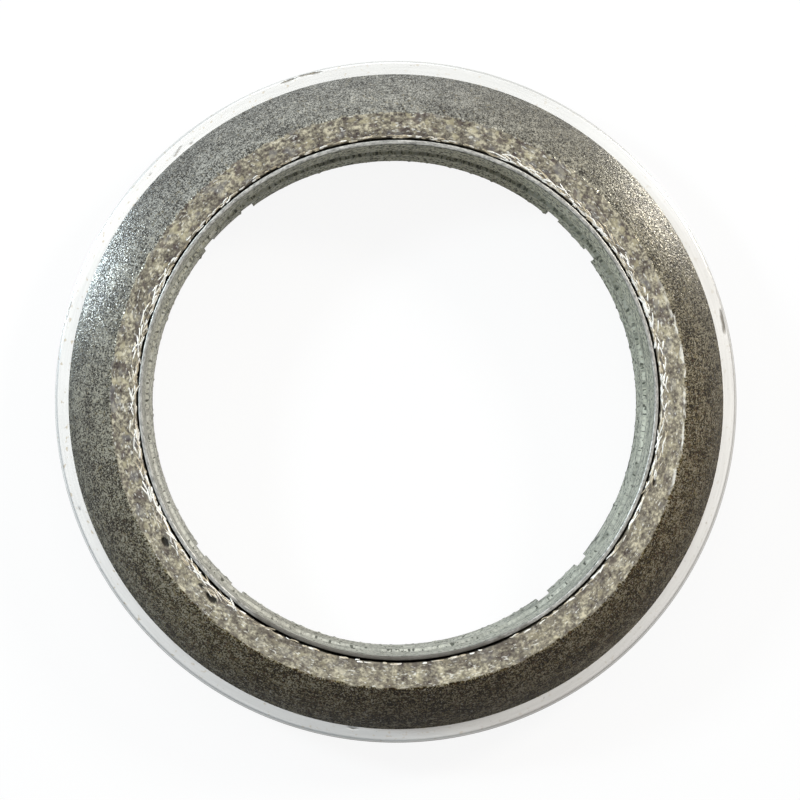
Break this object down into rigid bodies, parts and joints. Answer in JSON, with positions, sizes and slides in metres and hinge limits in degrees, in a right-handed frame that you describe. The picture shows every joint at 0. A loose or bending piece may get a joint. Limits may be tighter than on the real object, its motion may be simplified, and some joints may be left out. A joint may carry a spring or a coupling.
{
  "type": "exhaust pipe flange gasket",
  "caption": "Round exhaust flange gasket: a domed, flat-nosed seal ring of pressed wire mesh on a thin steel flange, with a sheet steel sleeve through the bore and tabs on its lower edge.",
  "frame": {"origin": "on the bore's axis, at the lower edge of the sleeve, where the gasket stands", "axes": "+Z along the bore towards the seal's nose; +X to the right and +Y up in the picture"},
  "size_m": [0.07, 0.07, 0.0162],
  "materials": {
    "flange_steel": "bright rolled steel with fine lines round the ring",
    "pressed_mesh": "dark pressed wire mesh and graphite, smooth on the taper and rough on the nose",
    "sleeve_steel": "zinc-grey sheet steel with fine dark specks and a bare cut rim"
  },
  "bodies": {
    "root": {"flange_ring": "flange_steel", "seal_ring": "pressed_mesh", "inner_sleeve": "sleeve_steel"}
  },
  "joints": []
}
